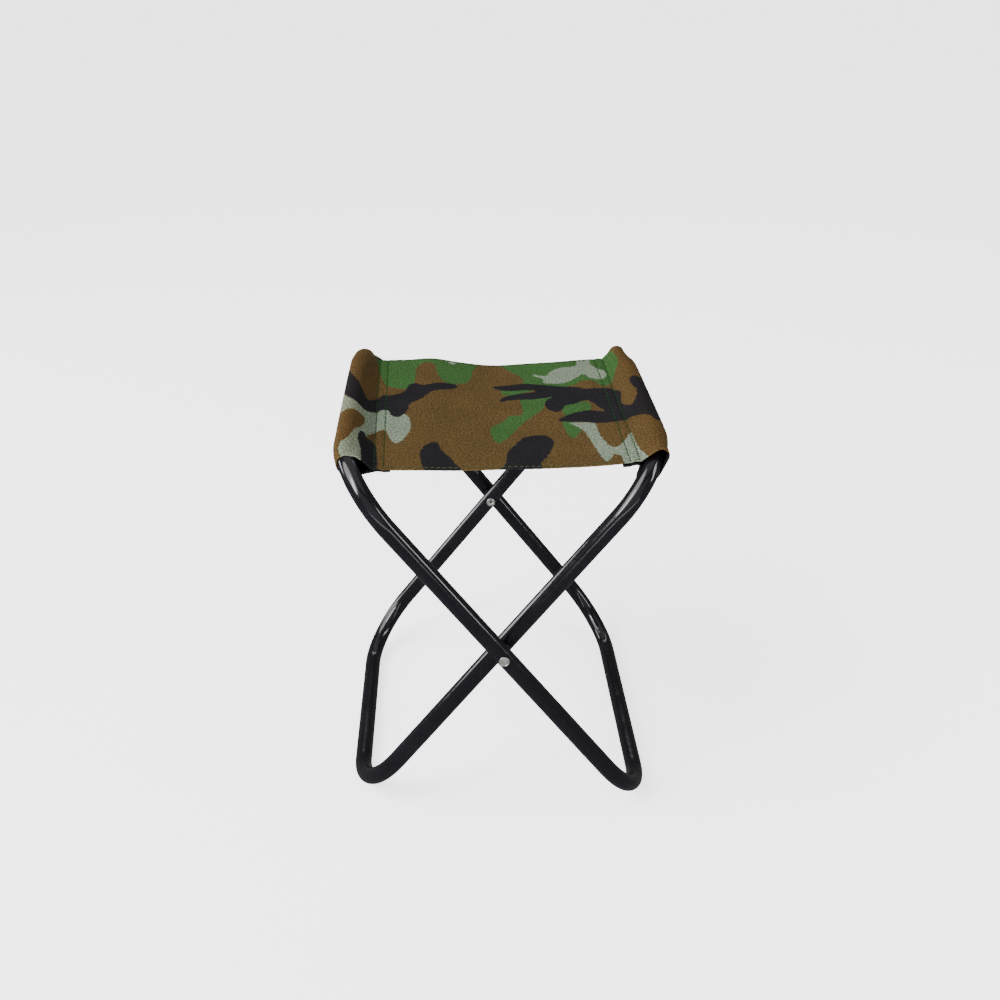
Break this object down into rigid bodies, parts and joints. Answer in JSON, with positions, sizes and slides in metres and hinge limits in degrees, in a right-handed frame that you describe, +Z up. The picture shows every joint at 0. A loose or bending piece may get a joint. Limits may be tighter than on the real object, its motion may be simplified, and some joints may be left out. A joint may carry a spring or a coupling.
{
  "type": "folding camp stool",
  "caption": "Folding scissor stool: two looped tube frames cross on two rivets and carry a camouflage cloth seat.",
  "frame": {"origin": "on the floor, under the middle of the open stool", "axes": "+Z up; X runs from one floor bar to the other; Y runs along the fold axis, front at -Y"},
  "size_m": [0.2664, 0.3194, 0.3398],
  "materials": {
    "black_paint": "gloss",
    "plug_steel": "satin",
    "rivet_steel": "satin",
    "washer_nylon": "matte",
    "camouflage_cloth": "matte",
    "green_thread": "satin"
  },
  "bodies": {
    "outer_loop": {"outer_frame_tube": "black_paint", "outer_butt_plug": "plug_steel", "front_rivet": "rivet_steel", "rear_rivet": "rivet_steel", "front_spacer_washer": "washer_nylon", "rear_spacer_washer": "washer_nylon", "left_sleeve": "camouflage_cloth", "seat_panel": "camouflage_cloth", "left_seam_flap": "camouflage_cloth", "front_hem": "camouflage_cloth", "rear_hem": "camouflage_cloth", "left_seam_thread_outer": "green_thread", "left_seam_thread_inner": "green_thread", "front_hem_thread": "green_thread", "rear_hem_thread": "green_thread"},
    "inner_loop": {"inner_frame_tube": "black_paint", "inner_butt_plug": "plug_steel", "right_sleeve": "camouflage_cloth", "right_seam_flap": "camouflage_cloth", "right_seam_thread_outer": "green_thread", "right_seam_thread_inner": "green_thread"}
  },
  "joints": [
    {"name": "fold", "type": "hinge", "parent": "outer_loop", "child": "inner_loop", "pos_m": [0, 0, 0.169], "axis": [0, -1, 0], "range_deg": [0, 69.5], "deforming": ["seat_panel", "front_hem", "rear_hem", "front_hem_thread", "rear_hem_thread", "left_seam_flap", "right_seam_flap", "left_seam_thread_outer", "left_seam_thread_inner", "right_seam_thread_outer", "right_seam_thread_inner"]}
  ]
}
